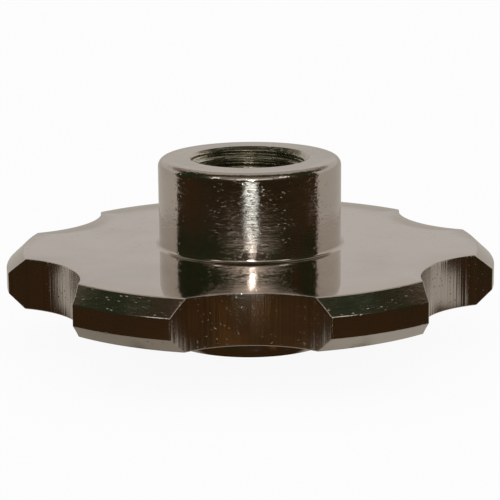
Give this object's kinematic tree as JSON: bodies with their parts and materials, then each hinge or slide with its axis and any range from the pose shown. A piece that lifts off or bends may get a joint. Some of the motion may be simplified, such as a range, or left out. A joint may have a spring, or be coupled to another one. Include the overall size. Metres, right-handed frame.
{
  "type": "knurled nut",
  "caption": "Round hand nut in bright nickel-plated steel: a thick scalloped flange for the fingers, with a threaded hub above and a short boss below.",
  "frame": {"origin": "centre of the boss's lower face, which the nut rests and clamps on, on the thread's axis", "axes": "+Z along the thread from the boss to the hub; -Y through the middle of one scallop, +X through the middle of one lobe between two scallops"},
  "size_m": [0.05, 0.0478, 0.0188],
  "materials": {
    "nickel_steel": "polished"
  },
  "bodies": {
    "root": {"knurled_nut": "nickel_steel"}
  },
  "joints": []
}
